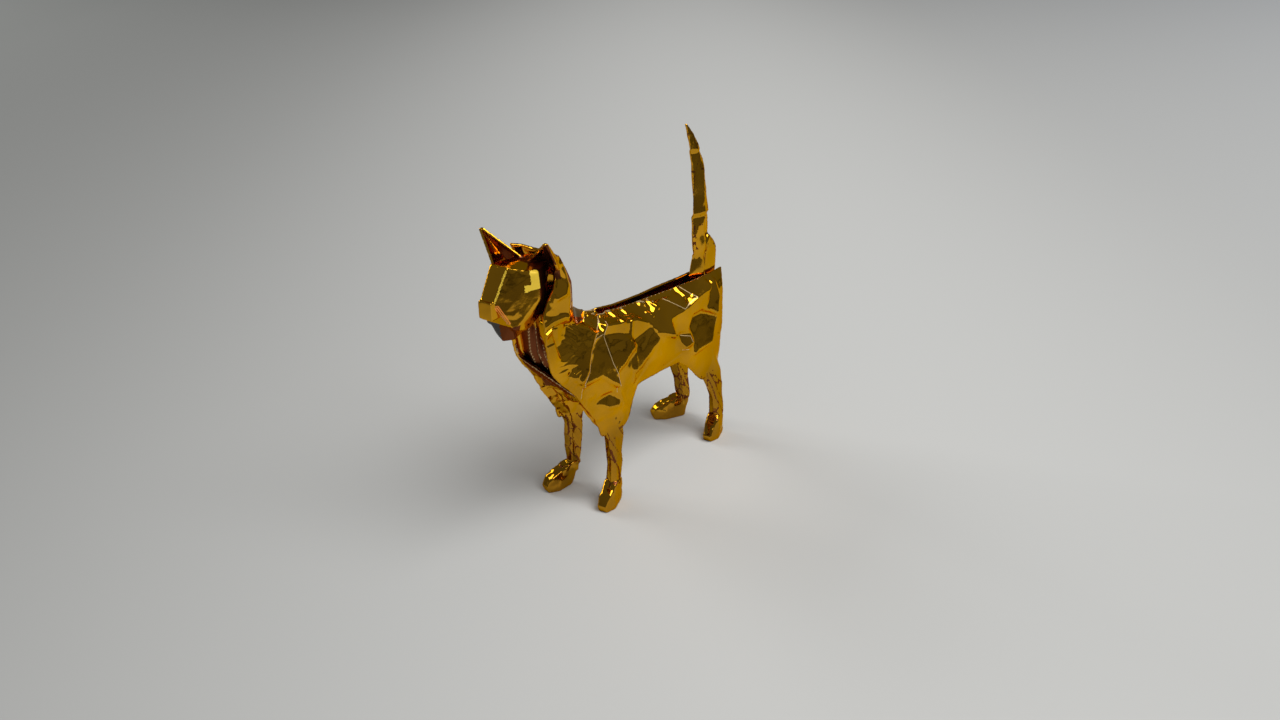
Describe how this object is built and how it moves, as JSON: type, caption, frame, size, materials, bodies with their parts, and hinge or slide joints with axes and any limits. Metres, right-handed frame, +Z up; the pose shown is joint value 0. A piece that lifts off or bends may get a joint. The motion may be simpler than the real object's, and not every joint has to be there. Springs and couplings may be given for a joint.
{
  "type": "origami cat",
  "caption": "Standing cat folded from one square of gold foil paper, with a hollow body open along the back, cupped ears and an upright tail.",
  "frame": {"origin": "on the floor, under the middle of the cat's bounding box", "axes": "+Z up, -Y the way the cat faces, +X its left side"},
  "size_m": [0.0162, 0.0596, 0.0621],
  "materials": {
    "gold_foil_paper": "bright metal foil face, grey reverse"
  },
  "bodies": {
    "root": {"folded_sheet": "gold_foil_paper"}
  },
  "joints": []
}
